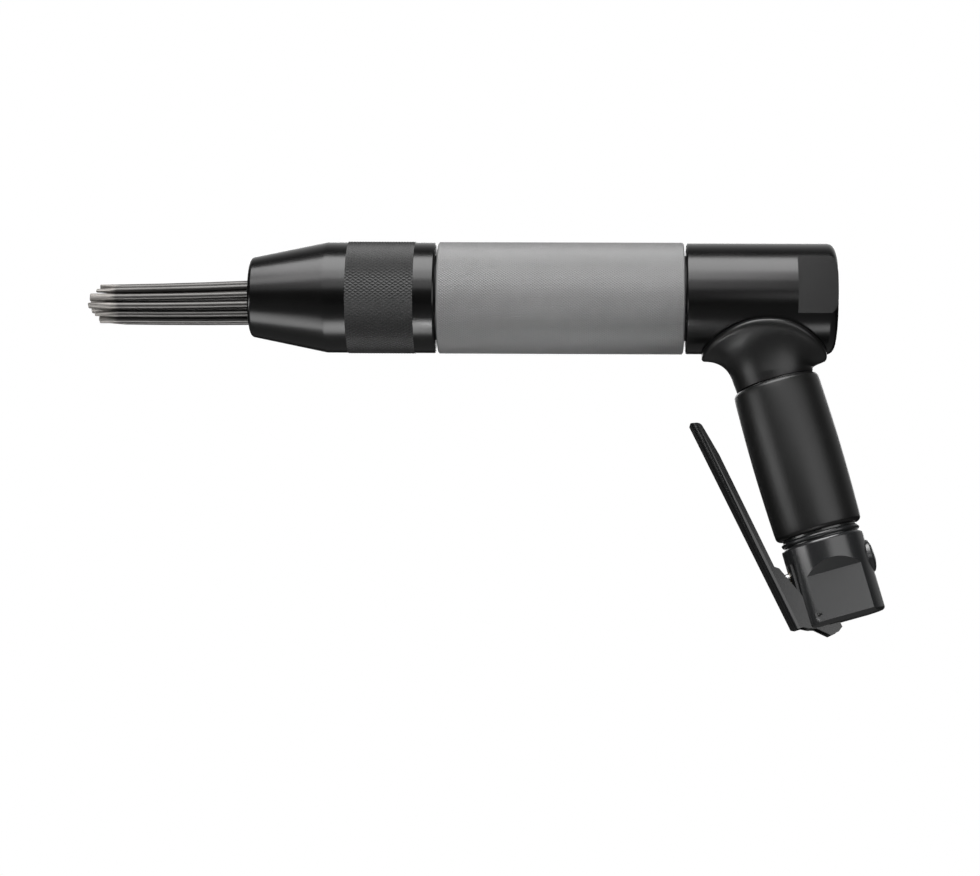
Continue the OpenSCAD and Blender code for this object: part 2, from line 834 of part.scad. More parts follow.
// Valve body: socket for the tube, throttle bore, air inlet and a slot for each cheek of the lever
module valve_body() {
    ring_room = 1.8;
    strainer_room = 4;
    slot_d = slot_w / 2 - rib_half_w;
    bush_end_t = bush_t + bush_len + ring_room;
    color("#2e2f31")
        difference() {
            on_handle()
                body_blank();
            on_handle() {
                down_hole(0, body_top_s - over, tube_foot_s, spigot_r + run_fit);
                down_hole(outlet_t, body_top_s, throttle_s, outlet_r);
                down_hole(inlet_t, inlet_top_s, body_foot_s + over, inlet_r);
                translate([inlet_t, 0, body_foot_s - inlet_lead])
                    cylinder(h = inlet_lead + seat_fit, r1 = inlet_r, r2 = inlet_r + inlet_lead,
                        $fn = round_fn);
                down_hole(inlet_t, inlet_top_s - strainer_room, inlet_top_s + over, strainer_r + 0.1);
                down_hole(feed_t, throttle_s, inlet_top_s, feed_r, small_fn);
                for (side = [-1, 1])
                    translate([-body_d, side * (rib_half_w + slot_d / 2) - slot_d / 2, slot_top_s])
                        cube([body_d + slot_floor_t, slot_d, body_len]);
                pivot_bar(2 * body_d, pin_d / 2 + seat_fit);
            }
            on_throttle() {
                throttle_hole(-body_d, bush_end_t, bush_r + seat_fit);
                throttle_hole(bush_end_t - over, chamber_t + over, stem_r + free_gap);
                throttle_hole(chamber_t, seat_t + over, outlet_chamber_r);
                throttle_hole(seat_t, body_d, throttle_bore_r);
                throttle_hole(plug_face_t - 2 * plug_ring_section_r - 0.1, body_d,
                    plug_ring_r + plug_ring_section_r + 0.4);
                throttle_hole(plug_face_t, body_d, plug_head_r + free_gap);
            }
        }
}

// Cross-section of the lever channel with rounded bends, open at the back
module channel_section(web, half_w, bend_r) {
    reach = 60;
    translate([web + bend_r, -half_w])
        square([reach, 2 * half_w]);
    translate([web, -half_w + bend_r])
        square([reach, 2 * (half_w - bend_r)]);
    for (side = [-1, 1])
        translate([web + bend_r, side * (half_w - bend_r)])
            circle(r = bend_r, $fn = small_fn);
}

// A channel section run along the lever from distance u below the tip
module channel_run(u, web, half_w, bend_r) {
    translate([lever_tip[0], 0, lever_tip[1]])
        rotate([0, lever_slope, 0])
            translate([0, 0, u])
                linear_extrude(height = 1.4 * norm(lever_run))
                    channel_section(web, half_w, bend_r);
}

// Side view of the lever: shallow channel, deep cheeks at the pivot and a stop tail
lever_side = concat(
    [lever_tip, lever_tip + level * lever_depth * 1.05,
     cheek_rise - [1.8, 1.2], cheek_rise, cheek_shoulder],
    arc(pivot, pivot_boss_r, -60, 0, 4),
    [[pivot[0] + pivot_boss_r, tail_s],
     [-3.3, tail_s],
     [-2.9, tail_s + 2.2],
     [-4.9, tail_s + 3.8],
     [-8.7, tail_s + 4.5],
     [-13.9, tail_s],
     [-17.3, tail_s - 1],
     [-19.2, tail_s - 2],
     lever_foot]);

// Pressed steel lever: a channel that closes at its tip and straddles the pivot pin
module lever() {
    half_w = lever_w / 2;
    tip_corner_r = 5;
    color("#232426")
        on_handle()
            difference() {
                intersection() {
                    across(lever_w)
                        polygon(lever_side);
                    channel_run(-lever_w, 0, half_w, lever_bend_r);
                    translate([2 * lever_tip[0], 0, 0])
                        rotate([90, 0, 90])
                            linear_extrude(height = -2 * lever_tip[0])
                                lever_front(half_w, tip_corner_r);
                }
                channel_run(2 * lever_sheet, lever_sheet, half_w - lever_sheet, lever_bend_r - lever_sheet);
                pivot_bar(2 * lever_w, pin_d / 2 + run_fit);
            }
}

// Front view of the lever with its rounded top corners
module lever_front(half_w, corner_r) {
    foot = 1.3 * norm(lever_run);
    top = lever_tip[1];
    translate([-half_w, top + corner_r])
        square([2 * half_w, foot]);
    translate([-half_w + corner_r, top])
        square([2 * (half_w - corner_r), foot]);
    for (side = [-1, 1])
        translate([side * (half_w - corner_r), top + corner_r])
            circle(r = corner_r, $fn = small_fn);
}

// Rolled spring pin that the lever swings on, pressed into the two ears of the valve body
module lever_pin() {
    wall = 0.7;
    slit = 0.6;
    sunk = 0.3;
    length = body_flat_w - 2 * sunk;
    color("#6e7073")
        on_handle()
            difference() {
                pivot_bar(length, pin_d / 2);
                pivot_bar(length + over, pin_d / 2 - wall);
                translate([pivot[0], -body_half_w, pivot[1] - slit / 2])
                    cube([pin_d, body_flat_w, slit]);
            }
}

// Stem that the lever pushes, with a rounded end
module throttle_stem() {
    color("#c9cacb")
        on_throttle()
            spun([[0, stem_tip_t],
                  [stem_r - 0.6, stem_tip_t + 0.1],
                  [stem_r, stem_tip_t + 0.8],
                  [stem_r, seal_t + seal_len],
                  [0, seal_t + seal_len]]);
}

// Poppet behind the seat, with the spigot that centres its spring
module throttle_poppet() {
    t0 = seal_t + seal_len + run_fit;
    t1 = t0 + poppet_len;
    color("#a58a4e")
        on_throttle()
            spun([[0, t0], [poppet_r, t0], [poppet_r, t1],
                  [poppet_spigot_r, t1], [poppet_spigot_r, t1 + poppet_spigot_len],
                  [0, t1 + poppet_spigot_len]]);
}

// Rubber face of the poppet
module poppet_seal() {
    color("#1c1c1e")
        on_throttle()
            spun([[stem_r + run_fit, seal_t], [poppet_r, seal_t],
                  [poppet_r, seal_t + seal_len], [stem_r + run_fit, seal_t + seal_len]]);
}

// Ring that the poppet closes against
module throttle_seat() {
    color("#b39a5c")
        on_throttle()
            spun([[seat_hole_r, seat_t], [throttle_bore_r - seat_fit, seat_t],
                  [throttle_bore_r - seat_fit, seat_t + seat_len], [seat_hole_r + 0.5, seat_t + seat_len],
                  [seat_hole_r, seat_t + seat_len - 0.5]]);
}

// Spring that closes the throttle and pushes the lever out again
module throttle_spring() {
    t0 = seal_t + seal_len + run_fit + poppet_len;
    color("#8c8d8e")
        on_throttle()
            translate([0, 0, t0 + run_fit])
                coil(throttle_coil_r, throttle_wire_r, throttle_turns, plug_t - t0 - 2 * run_fit);
}

// Domed plug that closes the throttle bore at the back
module throttle_plug() {
    color("#222325")
        on_throttle()
            spun(concat(
                [[0, plug_t], [throttle_bore_r - run_fit, plug_t],
                 [throttle_bore_r - run_fit, plug_face_t + seat_fit], [plug_head_r, plug_face_t + seat_fit],
                 [plug_head_r, plug_rim_t]],
                [for (i = [1 : arc_steps])
                    let (w = 90 * i / arc_steps)
                    [plug_head_r * cos(w), plug_rim_t + (plug_top_t - plug_rim_t) * sin(w)]]));
}

// Seal under the head of the throttle plug
module plug_o_ring() {
    color("#1c1c1e")
        on_throttle()
            translate([0, 0, plug_face_t - plug_ring_section_r])
                rotate_extrude($fn = round_fn)
                    translate([plug_ring_r, 0])
                        circle(r = plug_ring_section_r, $fn = small_fn);
}

// Bronze bush that guides the stem
module stem_bush() {
    color("#a67c46")
        on_throttle()
            spun([[stem_r + run_fit, bush_t], [bush_r, bush_t],
                  [bush_r, bush_t + bush_len], [stem_r + run_fit, bush_t + bush_len]]);
}

// Seal round the stem, behind the bush
module stem_o_ring() {
    color("#1c1c1e")
        on_throttle()
            translate([0, 0, bush_t + bush_len + stem_ring_r + run_fit])
                rotate_extrude($fn = round_fn)
                    translate([stem_r + stem_ring_r + run_fit, 0])
                        circle(r = stem_ring_r, $fn = small_fn);
}

// Perforated thimble that keeps grit out of the valve
module inlet_strainer() {
    wall = 0.6;
    top_s = inlet_top_s - 3.8;
    foot_s = inlet_top_s - 0.1;
    color("#b7a36a")
        on_handle()
            translate([inlet_t, 0, 0])
                difference() {
                    spun([[0, top_s], [strainer_r, top_s], [strainer_r, foot_s],
                          [strainer_r - wall, foot_s], [strainer_r - wall, top_s + wall],
                          [0, top_s + wall]]);
                    for (turn = [0 : 60 : 300])
                        rotate([0, 0, turn])
                            translate([strainer_r / 2, 0, top_s - over])
                                cylinder(h = 2 * over, r = 0.7, $fn = small_fn);
                }
}

nose_tube();
needle_holder();
needles();
return_spring();
anvil();
buffer_ring();
cylinder_node();  // cylinder
nose_o_ring();
piston();
valve_box();
valve_plate();
valve_cover();
valve_dowels();
head_gasket();
grip_sleeve();
front_isolator();
rear_isolator();
back_head();
handle_tube();
handle_tube_o_rings();
handle_collar();
handle_grip();
lock_ring();
valve_body();
lever();
lever_pin();
throttle_stem();
throttle_poppet();
poppet_seal();
throttle_seat();
throttle_spring();
throttle_plug();
plug_o_ring();
stem_bush();
stem_o_ring();
inlet_strainer();
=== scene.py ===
# %% [markdown]
# # A needle scaler, dressed for the camera
# A needle scaler is an air tool: a piston hammers a bundle of steel needles, and the needles
# knock rust and paint off steel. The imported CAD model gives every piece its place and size.
# This lesson builds the visible pieces again with finer surfaces, gives every finish its
# own nodes, and sets up a small studio. Lengths on the tool are written in millimetres and
# become metres through MM, because the frame is in metres. The studio is written in metres.

import json
from math import acos, asin, copysign, cos, pi, radians, sin, sqrt

import bmesh
import bpy
from mathutils import Matrix, Vector


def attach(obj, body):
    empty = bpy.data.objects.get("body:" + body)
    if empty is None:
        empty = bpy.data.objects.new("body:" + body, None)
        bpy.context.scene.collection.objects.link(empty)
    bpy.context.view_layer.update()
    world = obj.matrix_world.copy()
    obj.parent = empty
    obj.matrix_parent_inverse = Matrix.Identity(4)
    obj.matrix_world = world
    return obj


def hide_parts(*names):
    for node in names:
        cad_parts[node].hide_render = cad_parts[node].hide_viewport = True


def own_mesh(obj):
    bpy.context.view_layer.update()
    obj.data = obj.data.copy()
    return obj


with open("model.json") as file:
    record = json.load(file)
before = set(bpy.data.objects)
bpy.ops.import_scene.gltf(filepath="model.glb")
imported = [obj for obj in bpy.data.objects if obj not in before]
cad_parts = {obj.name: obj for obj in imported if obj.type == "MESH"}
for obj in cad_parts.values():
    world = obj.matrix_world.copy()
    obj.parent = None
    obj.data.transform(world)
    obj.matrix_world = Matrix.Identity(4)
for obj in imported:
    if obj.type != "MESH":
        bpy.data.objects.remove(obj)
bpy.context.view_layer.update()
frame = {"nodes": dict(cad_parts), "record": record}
MM = 0.001

# %% [markdown]
# The tool has two axes. The barrel runs along X with the needles at -X. The handle leaves
# the barrel behind the sleeve and leans 16 degrees. A point on the handle is given by t
# (towards the back), y (across) and s (down the handle), so that its sizes can be written
# as if it stood upright.

# %% Axes
X, Y, Z = Vector((1, 0, 0)), Vector((0, 1, 0)), Vector((0, 0, 1))
ORIGIN = Vector((0, 0, 0))
HANDLE_X, LEAN, FOOT = 84.6, radians(16), 149
DOWN = Vector((sin(LEAN), 0, -cos(LEAN)))
BACK = Vector((cos(LEAN), 0, sin(LEAN)))
HANDLE = (Vector((HANDLE_X * MM, 0, 0)), DOWN, BACK)


def on_handle(t, y, s):
    """A point of the handle's own frame, in metres."""
    return HANDLE[0] + (BACK * t + Y * y + DOWN * s) * MM


print("handle foot in mm:", [round(v / MM, 1) for v in on_handle(0, 0, FOOT)])

# %% [markdown]
# Shader maths reads best as plain sums. The class below wraps one node socket. Adding,
# subtracting or multiplying makes the Math node, also when a number comes first, and any
# other node comes from the one method named node. The nodes could be wired by hand in the
# editor, but a sum in a script shows at a glance what a finish does.


# %% A socket that Python can do sums with
class Shade:
    """One output socket of a node tree."""

    def __init__(self, tree, socket=None):
        self.tree, self.socket = tree, socket

    def node(self, kind, settings=None, sockets=None, out=0):
        """A new node of a kind; settings come first, then the values or links of its sockets."""
        made = self.tree.nodes.new("ShaderNode" + kind)
        for key, value in (settings or {}).items():
            setattr(made, key, value)
        for key, value in (sockets or {}).items():
            if isinstance(value, Shade):
                self.tree.links.new(value.socket, made.inputs[key])
            else:
                made.inputs[key].default_value = value
        return Shade(self.tree, made.outputs[out])

    def out(self, name):
        """Another output of the same node."""
        return Shade(self.tree, self.socket.node.outputs[name])

    def math(self, operation, a, b):
        return self.node("Math", {"operation": operation}, {0: a, 1: b})

    def __add__(self, other):
        return self.math("ADD", self, other)

    def __radd__(self, other):
        return self.math("ADD", other, self)

    def __sub__(self, other):
        return self.math("SUBTRACT", self, other)

    def __rsub__(self, other):
        return self.math("SUBTRACT", other, self)

    def __mul__(self, other):
        return self.math("MULTIPLY", self, other)

    def __rmul__(self, other):
        return self.math("MULTIPLY", other, self)


# %% [markdown]
# Every finish starts the same way: a cloudy change of tone, a roughness that follows it, and
# a fine grain in the normal. A stretch turns the round grain into turning marks or drawn
# lines. One flat colour for each piece would be quicker, but no real surface is that even,
# and its highlights show it. Two finishes have one layer more: the needles are ground bright
# towards their ends, and the knurl of the nose is duller than the turned metal beside it.

# %% The common start of every finish
CLOUD_SHARE, CLOUD_DETAIL = 0.6, 4
GRAIN_SHARE, GRAIN_DETAIL, GRAIN_STRENGTH = 0.4, 3, 0.6
GROUND_WAVER, GROUND_ROUGHER, MATTE_ROUGHER = 16, 0.2, 0.22


def grey(v, warm=0.0):
    """A grey tint: warm above zero, cold below it."""
    return (v * (1 + warm), v, v * (1 - warm))


def blend(shade, mask, low, high):
    """A colour between two others, by a mask; each of the two is a tint or a Shade."""
    low, high = (end if isinstance(end, Shade) else (*end, 1) for end in (low, high))
    return shade.node("Mix", {"data_type": "RGBA"}, {"Factor": mask, 6: low, 7: high}, out=2)


def finish(
    name, dark, light, rough, cloud=90, grain=4000, depth=0.01, stretch=(1, 1, 1),
    ground=None, matte=None, **fixed
):
    """A material whose grain is depth deep. ground is (start x, full x, tone) of a ground end,
    matte is (from x, to x, tone) of a dull band, and fixed holds the constant sockets."""
    made = bpy.data.materials.new(name)
    made.use_nodes = True
    tree = made.node_tree
    shade = Shade(tree)
    place = shade.node("TexCoord", out="Object")
    marks = shade.node("Mapping", sockets={"Vector": place, "Scale": stretch})
    mottle = shade.node(
        "TexNoise", sockets={"Vector": place, "Scale": cloud, "Detail": CLOUD_DETAIL}
    )
    fine = shade.node("TexNoise", sockets={"Vector": marks, "Scale": grain, "Detail": GRAIN_DETAIL})
    mask = mottle * CLOUD_SHARE + fine * GRAIN_SHARE
    colour = blend(shade, mask, dark, light)
    roughness = rough[0] + (rough[1] - rough[0]) * mask
    if ground:
        start, full, tone = ground
        x = shade.node("SeparateXYZ", sockets={"Vector": place}) + GROUND_WAVER * MM * mottle
        end = shade.node(
            "MapRange", sockets={"Value": x, "From Min": start * MM, "From Max": full * MM}
        )
        colour = blend(shade, end, colour, tone)
        roughness = roughness + GROUND_ROUGHER * end
    if matte:
        start, stop, tone = matte
        x = shade.node("SeparateXYZ", sockets={"Vector": place})
        band = shade.math("GREATER_THAN", x, start * MM) * shade.math("LESS_THAN", x, stop * MM)
        colour = blend(shade, band, colour, tone)
        roughness = roughness + MATTE_ROUGHER * band
    bump = shade.node(
        "Bump", sockets={"Height": fine, "Strength": GRAIN_STRENGTH, "Distance": depth * MM}
    )
    shader = tree.nodes["Principled BSDF"]
    tree.links.new(colour.socket, shader.inputs["Base Color"])
    tree.links.new(roughness.socket, shader.inputs["Roughness"])
    tree.links.new(bump.socket, shader.inputs["Normal"])
    for key, value in fixed.items():
        shader.inputs[key.replace("_", " ")].default_value = value
    return made


# %% [markdown]
# The finishes follow the record's material slots, so a later scene can repaint the part
# slot by slot. Anodised and coated blacks are dielectric shells, so they stay non-metallic
# with a dark base. Bare steel, alloy and brass are metallic, and the grey of the sleeve lies
# between the two.

# %% One material for each slot
TURNED, DRAWN, POLISHED = (6.0, 0.4, 0.4), (0.15, 2, 2), (0.5, 3, 3)
NOSE_KNURL = (-95, -65)
LOOKS = {
    # Nose and back head: turned metal with a hard black skin
    "black_anodised": dict(
        dark=grey(0.001), light=grey(0.002), rough=(0.2, 0.27), stretch=TURNED, depth=0.002,
        matte=(*NOSE_KNURL, grey(0.012)), Specular_IOR_Level=0.5,
    ),
    # Sleeve: a thin grey coat over knurled metal
    "grey_knurled": dict(
        dark=grey(0.16), light=grey(0.21), rough=(0.42, 0.55), cloud=140, grain=2500, Metallic=0.3,
    ),
    # Needles: drawn wire, dark along the shank and bright where the ends are ground
    "needle_steel": dict(
        dark=grey(0.06, 0.02), light=grey(0.13, 0.03), rough=(0.36, 0.48), stretch=DRAWN,
        ground=(-190, -194, grey(0.27, 0.05)), Metallic=1.0,
    ),
    # Throttle stem: polished, because it slides in a seal
    "bright_steel": dict(
        dark=grey(0.55), light=grey(0.7), rough=(0.18, 0.3), stretch=POLISHED, Metallic=1.0,
    ),
    # Hammer, anvil and plate valve: hardened and left bare
    "tool_steel": dict(
        dark=grey(0.34), light=grey(0.48), rough=(0.25, 0.42), stretch=TURNED, Metallic=1.0,
    ),
    # Cylinder: near black; it shows only in the narrow gaps beside the sleeve and keeps them dark
    "oxide_black": dict(dark=grey(0.012), light=grey(0.022), rough=(0.4, 0.55), stretch=TURNED),
    # Both springs
    "spring_steel": dict(dark=grey(0.26), light=grey(0.4), rough=(0.3, 0.45), Metallic=1.0),
    # Seals and rubber rings
    "seal_rubber": dict(dark=grey(0.014), light=grey(0.024), rough=(0.55, 0.7), grain=2500),
    # Tube inside the grip
    "tube_alloy": dict(
        dark=grey(0.32), light=grey(0.45), rough=(0.3, 0.45), stretch=TURNED, Metallic=1.0,
    ),
    # Grip and saddle: moulded rubber with a slight shine
    "grip_rubber": dict(
        dark=grey(0.003), light=grey(0.006), rough=(0.34, 0.44), grain=1800, depth=0.02,
        Specular_IOR_Level=0.7,
    ),
    # Valve body, lock ring and plug: a smooth black coat, a little cold
    "valve_black": dict(
        dark=grey(0.013, -0.04), light=grey(0.022, -0.04), rough=(0.2, 0.28), depth=0.004,
        Specular_IOR_Level=1.0,
    ),
    # Lever and its pin: a glossy coat that flows a little, so its grain is coarse and low
    "lever_black": dict(
        dark=grey(0.006, -0.03), light=grey(0.01, -0.03), rough=(0.14, 0.2), grain=700,
        depth=0.0015, Specular_IOR_Level=0.9,
    ),
    # Small throttle pieces and the strainer
    "brass": dict(
        dark=(0.5, 0.36, 0.14), light=(0.66, 0.48, 0.22), rough=(0.25, 0.4), stretch=TURNED,
        Metallic=1.0,
    ),
}
FINISHES = {slot: finish(slot, **look) for slot, look in LOOKS.items()}
print(len(FINISHES), "finishes")

# %% [markdown]
# Each CAD node keeps its mesh and takes the finish of its slot. The pieces made below
# replace the nodes that the eye sees first. The rest sit inside or are small, and the CAD
# mesh is good enough for them.

# %% Dress the CAD nodes
for row in frame["record"]["subparts"]:
    node_mesh = frame["nodes"][row["node"]].data
    node_mesh.materials.clear()
    node_mesh.materials.append(FINISHES[row["material_slot"]])
print(len(frame["nodes"]), "CAD nodes dressed")

# %% [markdown]
# One helper ends the making of every piece. It turns a finished bmesh into an object that
# rides on a body, and hides the CAD nodes that the object stands for. Faces are shaded
# smooth and only real edges stay sharp. Weighted normals keep large faces flat beside small
# bevels, which costs less than dividing the faces further.


# %% Show a finished piece
def show(bm, name, body, slot, *nodes, sharp=35, hard=lambda p: False):
    """Makes the piece; edges over sharp degrees, or with both ends in hard, stay sharp."""
    if bm.calc_volume(signed=True) < 0:
        bmesh.ops.reverse_faces(bm, faces=bm.faces[:])
    for edge in bm.edges:
        edge.smooth = len(edge.link_faces) == 2 and edge.calc_face_angle() < radians(sharp)
        if all(hard(v.co) for v in edge.verts):
            edge.smooth = False
    for face in bm.faces:
        face.smooth = True
    mesh = bpy.data.meshes.new(name)
    bm.to_mesh(mesh)
    bm.free()
    mesh.materials.append(FINISHES[slot])
    piece = bpy.data.objects.new(name, mesh)
    bpy.context.scene.collection.objects.link(piece)
    even = piece.modifiers.new("even shading", "WEIGHTED_NORMAL")
    even.keep_sharp = True
    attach(piece, body)
    if nodes:
        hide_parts(*nodes)
    print(name, len(mesh.polygons), "faces")
    return piece


# %% [markdown]
# A knurl is pressed into the turning metal by two wheels, and leaves rows of small
# pyramids. A bump map would look flat against the light, so the pyramids are real. A flat
# grid is turned by 45 degrees, every cell is poked up to a point, the sheet is trimmed to
# whole rows, and then it is rolled round the barrel. The rims are drawn out afterwards,
# ring by ring, to make the plain parts of the tube.

# %% Knurled tubes
# Distances within which points merge, and the step from a knurl to the plain tube
WELD, KNURL_WELD, KNURL_GAP = 0.001, 0.01, 0.05


def every_part(bm):
    return bm.verts[:] + bm.edges[:] + bm.faces[:]


def knurl_sheet(x0, x1, radius, along, around, depth):
    """Rolled-up sheet of pyramids between two stations; along and around are their diagonals."""
    rows = round((x1 - x0) / along)
    columns = round(2 * pi * radius / around)
    # Two cells to spare: an even number keeps the sheet's corners on corners of cells
    cells = rows + columns + 2
    bm = bmesh.new()
    bmesh.ops.create_grid(bm, x_segments=cells, y_segments=cells, size=cells / 2)
    bmesh.ops.rotate(bm, verts=bm.verts[:], matrix=Matrix.Rotation(pi / 4, 3, "Z"))
    diagonals = Vector(((x1 - x0) / rows, 2 * pi * radius / columns, 1))
    bmesh.ops.scale(bm, vec=diagonals / sqrt(2), verts=bm.verts[:])
    bmesh.ops.poke(bm, faces=bm.faces[:], offset=depth, center_mode="MEAN")
    half = Vector(((x1 - x0) / 2, pi * radius, 0))
    for side in (X, -X, Y, -Y):
        edge = Vector((side.x * half.x, side.y * half.y, 0))
        bmesh.ops.bisect_plane(
            bm, geom=every_part(bm), dist=WELD, plane_co=edge, plane_no=side, clear_outer=True
        )
    for v in bm.verts:
        turn, r = v.co.y / radius, radius - depth + v.co.z
        v.co = Vector((v.co.x + (x0 + x1) / 2, r * sin(turn), r * cos(turn))) * MM
    bmesh.ops.remove_doubles(bm, verts=bm.verts[:], dist=KNURL_WELD * MM)
    return bm


def new_rim(made):
    """The open edges among the parts that an extrusion made."""
    return [part for part in made if isinstance(part, bmesh.types.BMEdge) and part.is_boundary]


def draw_out(bm, rim, stations):
    """Extrudes a rim through (x, radius) stations and returns its last ring of edges."""
    for x, r in stations:
        made = bmesh.ops.extrude_edge_only(bm, edges=rim)["geom"]
        for v in made:
            if isinstance(v, bmesh.types.BMVert):
                grow = r * MM / sqrt(v.co.y**2 + v.co.z**2)
                v.co = Vector((x * MM, v.co.y * grow, v.co.z * grow))
        rim = new_rim(made)
    return rim


def knurled_tube(bm, front, back):
    """Draws out both rims of a sheet and joins them inside."""
    middle = sum(v.co.x for v in bm.verts) / len(bm.verts)
    rims = [e for e in bm.edges if e.is_boundary]
    front_rim = draw_out(bm, [e for e in rims if e.verts[0].co.x < middle], front)
    back_rim = draw_out(bm, [e for e in rims if e.verts[0].co.x > middle], back)
    bmesh.ops.bridge_loops(bm, edges=front_rim + back_rim)
    bmesh.ops.recalc_face_normals(bm, faces=bm.faces[:])


# %% [markdown]
# The sleeve is what the front hand holds. Its knurl is fine and runs to both ends, where a
# small rounded rim turns in. Rubber rings carry it, so a gap stays open to the nose and to
# the head.

# %% Sleeve
FINE_KNURL = dict(radius=25, along=1.6, around=1.15, depth=0.16)
SLEEVE_HALF, SLEEVE_END, SLEEVE_BORE = 54.15, 54.75, 22
SLEEVE_RIM = [(SLEEVE_HALF + KNURL_GAP, 24.75), (SLEEVE_END - 0.1, 24.4)]
SLEEVE_RIM += [(SLEEVE_END, 24.1), (SLEEVE_END, SLEEVE_BORE)]
sleeve = knurl_sheet(-SLEEVE_HALF, SLEEVE_HALF, **FINE_KNURL)
knurled_tube(sleeve, [(-x, r) for x, r in SLEEVE_RIM], SLEEVE_RIM)
show(sleeve, "knurled_sleeve", "tool_body", "grey_knurled", "grip_sleeve", sharp=20)

# %% [markdown]
# The nose screws onto the cylinder, and a coarser knurl gives the fingers hold. In front of
# the knurl the tube tapers to a rounded mouth. Outside and inside are one outline, drawn out
# from the two rims of the knurl until they meet at the joint with the cylinder.

# %% Nose
COARSE_KNURL = dict(radius=25.1, along=2.4, around=1.6, depth=0.3)
BARREL_R, SOCKET_R, END_X, JOINT_X = 24.8, 19.05, 55.65, -69.8
MOUTH_X, MOUTH_R, MOUTH_ROUND, MOUTH_EDGE, MOUTH_CHAMFER = -139.15, 12.6, 2, 16.1, 0.6
TAPER_X, TAPER_START_R, LEDGE_X, BORE_R = -104.2, 24.68, -128, 15.2


def arc(x, r, radius, start, end, steps=6):
    """(station, radius) pairs on an arc; angles in degrees from the station axis."""
    turns = [radians(start + (end - start) * i / steps) for i in range(steps + 1)]
    return [(x + radius * cos(w), r + radius * sin(w)) for w in turns]


nose_front = [(NOSE_KNURL[0] - KNURL_GAP, BARREL_R), (TAPER_X, BARREL_R)]
nose_front += [(TAPER_X - 1, TAPER_START_R)]
nose_front += arc(MOUTH_X + MOUTH_ROUND, MOUTH_EDGE, MOUTH_ROUND, 101, 180)
nose_front += [(MOUTH_X, MOUTH_R + MOUTH_CHAMFER), (MOUTH_X + MOUTH_CHAMFER, MOUTH_R)]
nose_front += [(LEDGE_X, MOUTH_R), (LEDGE_X, BORE_R), (JOINT_X, BORE_R)]
nose_back = [(NOSE_KNURL[1] + KNURL_GAP, BARREL_R), (-END_X - 0.85, BARREL_R)]
nose_back += [(-END_X - 0.25, 24.5), (-END_X, 24), (-END_X, SOCKET_R), (JOINT_X, SOCKET_R)]
nose = knurl_sheet(*NOSE_KNURL, **COARSE_KNURL)
knurled_tube(nose, nose_front, nose_back)
show(nose, "nose_tube_knurled", "tool_body", "black_anodised", "nose_tube", sharp=20)

# %% [markdown]
# The needles are straight wires whose ends are hammered flat and ground. They hang in loose
# holes, so the bundle rests on the lower lip of the mouth and closes up a little towards
# its tips. A plain cylinder can't change its section, so each wire is a small circle drawn
# out through rows: the head, the shank, and the flattened end, which is turned a different
# way on every needle.


# %% Draw a circle out through rows
def draw_ring(bm, rows, sides):
    """Draws a circle through rows, each of which places an angle, and returns the end rims."""
    ring = bmesh.ops.create_circle(bm, segments=sides, radius=1)["verts"]
    rim = first = list(dict.fromkeys(e for v in ring for e in v.link_edges))
    for number, row in enumerate(rows):
        if number:
            made = bmesh.ops.extrude_edge_only(bm, edges=rim)["geom"]
            rim = new_rim(made)
            new = {v for v in made if isinstance(v, bmesh.types.BMVert)}
            ring = [
                next(e.other_vert(u) for e in u.link_edges if e.other_vert(u) in new) for u in ring
            ]
        for i, v in enumerate(ring):
            v.co = row(2 * pi * i / sides)
    return first, rim


def wire_row(centre, wide, thick, turn):
    """A row of a wire: an ellipse across X, turned about it."""

    def place(w):
        a, b = wide * cos(w), thick * sin(w)
        side = Vector((0, a * cos(turn) - b * sin(turn), a * sin(turn) + b * cos(turn)))
        return (centre + side) * MM

    return place


# %% Needles
SEAT_X, TIP_X, NEEDLE_R, NEEDLE_SIDES = -83.95, -211.9, 1.5, 14
NEEDLE_HEAD_R, NEEDLE_HEAD_LONG = 2.25, 3.5
# Radii of the two rings of holes, then how the bundle closes up and sags towards its tips
INNER_RING, OUTER_RING, CLOSE_UP, SAG, SAG_BEND = 4.75, 9.4, 0.22, 3.6, 2.2
# How far the upper and lower tips stand back, then what makes each needle differ
SET_BACK, STAGGER, STAGGER_STEP, TURN_STEP = 4.6, 1.6, 0.618, 1.17
# Rows of the shank, by their distance from the seat
SHANK = (0.01, 12, 25, 40, 56, 75, 95)
# Rows of the end: distance from the tip, then half width and half thickness in wire radii
TIP_FORM = ((10, 1, 1), (7, 1.06, 0.86), (3, 1.16, 0.62), (0.3, 1.18, 0.55), (0, 1.05, 0.45))


def ring_places(count, radius, first=0.0):
    turns = [2 * pi * i / count + first for i in range(count)]
    return [(radius * cos(w), radius * sin(w)) for w in turns]


def needle_point(x, y, z):
    """Where the needle that sits at y, z in its holder is at station x."""
    run = (SEAT_X - x) / (SEAT_X - TIP_X)
    closer = 1 - CLOSE_UP * run
    return Vector((x, y * closer, z * closer - SAG * (1 - (1 - run) ** SAG_BEND)))


places = [(0, 0)] + ring_places(6, INNER_RING) + ring_places(12, OUTER_RING, pi / 12)
needles = bmesh.new()
for i, (y, z) in enumerate(places):
    tip = TIP_X + SET_BACK * (z / OUTER_RING) ** 2 + STAGGER * (i * STAGGER_STEP % 1)
    wire = [(SEAT_X + rise, NEEDLE_HEAD_R, NEEDLE_HEAD_R) for rise in (NEEDLE_HEAD_LONG, 0)]
    wire += [(SEAT_X - run, NEEDLE_R, NEEDLE_R) for run in SHANK]
    wire += [(tip + back, NEEDLE_R * wide, NEEDLE_R * thick) for back, wide, thick in TIP_FORM]
    wire_rows = [
        wire_row(needle_point(x, y, z), wide, thick, i * TURN_STEP) for x, wide, thick in wire
    ]
    head_rim, tip_rim = draw_ring(needles, wire_rows, NEEDLE_SIDES)
    bmesh.ops.holes_fill(needles, edges=head_rim + tip_rim)
